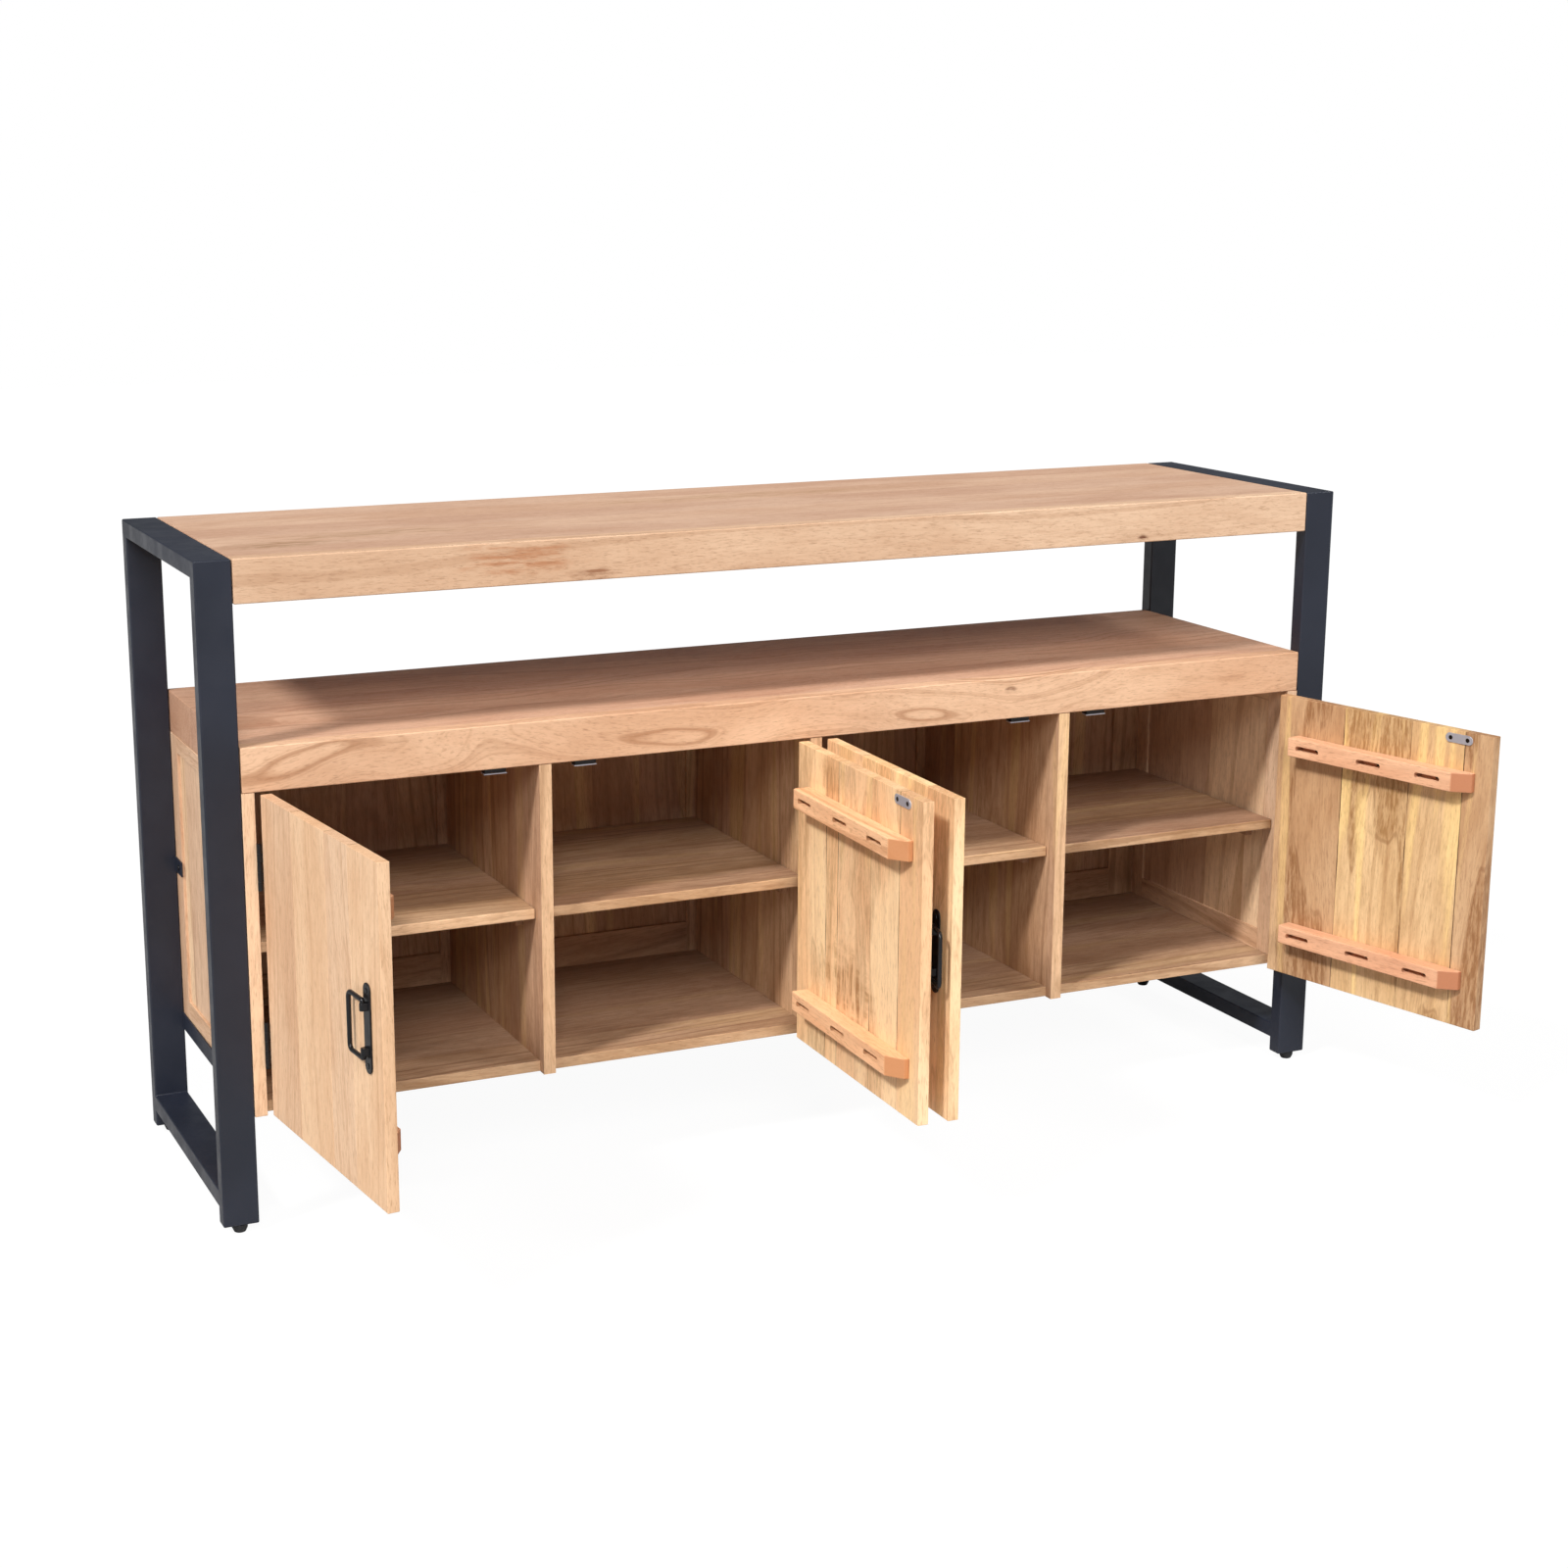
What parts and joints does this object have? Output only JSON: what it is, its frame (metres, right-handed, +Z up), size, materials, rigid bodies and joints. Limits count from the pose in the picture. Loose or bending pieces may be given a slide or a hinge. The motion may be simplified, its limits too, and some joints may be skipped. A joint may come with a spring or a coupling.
{
  "type": "sideboard buffet",
  "caption": "Long wooden sideboard in steel side frames: thick top, open display space, and a cabinet of shelved bays with hinged plank doors and bail handles.",
  "frame": {"origin": "floor level, at the middle of the footprint of the whole sideboard with its four doors standing open as pictured", "axes": "+X along the length to the viewer's right when facing the doors, +Y from the doors toward the back, +Z up"},
  "size_m": [1.824, 0.8576, 0.935],
  "materials": {
    "black_steel": "satin black powder coat with a slight blue cast",
    "black_iron": "black, slightly glossy",
    "foot_plastic": "matt black",
    "catch_plastic": "matt black",
    "top_wood": "pale honey mango wood, satin lacquer, planks along the length",
    "door_wood": "pale figured mango wood, satin, upright planks",
    "batten_wood": "warmer orange-brown wood, satin",
    "cabinet_wood": "honey-brown mango wood, satin"
  },
  "bodies": {
    "root": {"back_panel": "cabinet_wood", "bottom_board": "cabinet_wood", "cabinet_top": "top_wood", "left_back_leg": "black_steel", "left_cabinet_angle": "black_steel", "left_floor_rail": "black_steel", "left_front_leg": "black_steel", "left_partition": "cabinet_wood", "left_side_panel": "cabinet_wood", "left_top_rail": "black_steel", "magnetic_catch_1": "catch_plastic", "magnetic_catch_2": "catch_plastic", "magnetic_catch_3": "catch_plastic", "magnetic_catch_4": "catch_plastic", "middle_partition": "cabinet_wood", "post_leaf_1_lower": "black_iron", "post_leaf_1_upper": "black_iron", "post_leaf_2_lower": "black_iron", "post_leaf_2_upper": "black_iron", "post_leaf_3_lower": "black_iron", "post_leaf_3_upper": "black_iron", "post_leaf_4_lower": "black_iron", "post_leaf_4_upper": "black_iron", "right_back_leg": "black_steel", "right_cabinet_angle": "black_steel", "right_floor_rail": "black_steel", "right_front_leg": "black_steel", "right_partition": "cabinet_wood", "right_side_panel": "cabinet_wood", "right_top_rail": "black_steel", "shelf_1": "cabinet_wood", "shelf_2": "cabinet_wood", "shelf_3": "cabinet_wood", "shelf_4": "cabinet_wood", "top_board": "top_wood"},
    "door_1": {"door_1": "door_wood", "door_1_lower_batten": "batten_wood", "door_1_upper_batten": "batten_wood", "door_1_handle_plate": "black_iron"},
    "bail_1": {"door_1_bail": "black_iron"},
    "door_2": {"door_2": "door_wood", "door_2_lower_batten": "batten_wood", "door_2_upper_batten": "batten_wood", "door_2_handle_plate": "black_iron"},
    "bail_2": {"door_2_bail": "black_iron"},
    "door_3": {"door_3": "door_wood", "door_3_lower_batten": "batten_wood", "door_3_upper_batten": "batten_wood", "door_3_handle_plate": "black_iron"},
    "bail_3": {"door_3_bail": "black_iron"},
    "door_4": {"door_4": "door_wood", "door_4_lower_batten": "batten_wood", "door_4_upper_batten": "batten_wood", "door_4_handle_plate": "black_iron"},
    "bail_4": {"door_4_bail": "black_iron"},
    "left_front_foot": {"left_front_foot": "foot_plastic"},
    "left_back_foot": {"left_back_foot": "foot_plastic"},
    "right_front_foot": {"right_front_foot": "foot_plastic"},
    "right_back_foot": {"right_back_foot": "foot_plastic"}
  },
  "joints": [
    {"name": "door_1_hinge", "type": "hinge", "parent": "root", "child": "door_1", "pos_m": [-0.84214, -0.0254, 0.394], "axis": [0, 0, 1], "range_deg": [-86, 84]},
    {"name": "door_2_hinge", "type": "hinge", "parent": "root", "child": "door_2", "pos_m": [-0.02284, -0.0254, 0.394], "axis": [0, 0, 1], "range_deg": [-88.5, 0]},
    {"name": "door_3_hinge", "type": "hinge", "parent": "root", "child": "door_3", "pos_m": [-0.00114, -0.0254, 0.394], "axis": [0, 0, 1], "range_deg": [0, 91.5]},
    {"name": "door_4_hinge", "type": "hinge", "parent": "root", "child": "door_4", "pos_m": [0.81816, -0.0254, 0.394], "axis": [0, 0, 1], "range_deg": [-104, 66]},
    {"name": "bail_1_pivot", "type": "hinge", "parent": "door_1", "child": "bail_1", "pos_m": [-0.8087, -0.38, 0.398], "axis": [0, 0, 1], "range_deg": [0, 170]},
    {"name": "bail_2_pivot", "type": "hinge", "parent": "door_2", "child": "bail_2", "pos_m": [-0.02837, -0.38153, 0.398], "axis": [0, 0, 1], "range_deg": [-17, 0]},
    {"name": "bail_3_pivot", "type": "hinge", "parent": "door_3", "child": "bail_3", "pos_m": [-0.01427, -0.38133, 0.398], "axis": [0, 0, 1], "range_deg": [-5, 3]},
    {"name": "bail_4_pivot", "type": "hinge", "parent": "door_4", "child": "bail_4", "pos_m": [0.908, -0.37005, 0.398], "axis": [0, 0, 1], "range_deg": [-170, 0]},
    {"name": "left_front_foot_screw", "type": "hinge", "parent": "root", "child": "left_front_foot", "pos_m": [-0.88699, -0.0087, 0.006], "axis": [0, 0, 1], "continuous": true},
    {"name": "left_back_foot_screw", "type": "hinge", "parent": "root", "child": "left_back_foot", "pos_m": [-0.88699, 0.4163, 0.006], "axis": [0, 0, 1], "continuous": true},
    {"name": "right_front_foot_screw", "type": "hinge", "parent": "root", "child": "right_front_foot", "pos_m": [0.86301, -0.0087, 0.006], "axis": [0, 0, 1], "continuous": true},
    {"name": "right_back_foot_screw", "type": "hinge", "parent": "root", "child": "right_back_foot", "pos_m": [0.86301, 0.4163, 0.006], "axis": [0, 0, 1], "continuous": true}
  ]
}
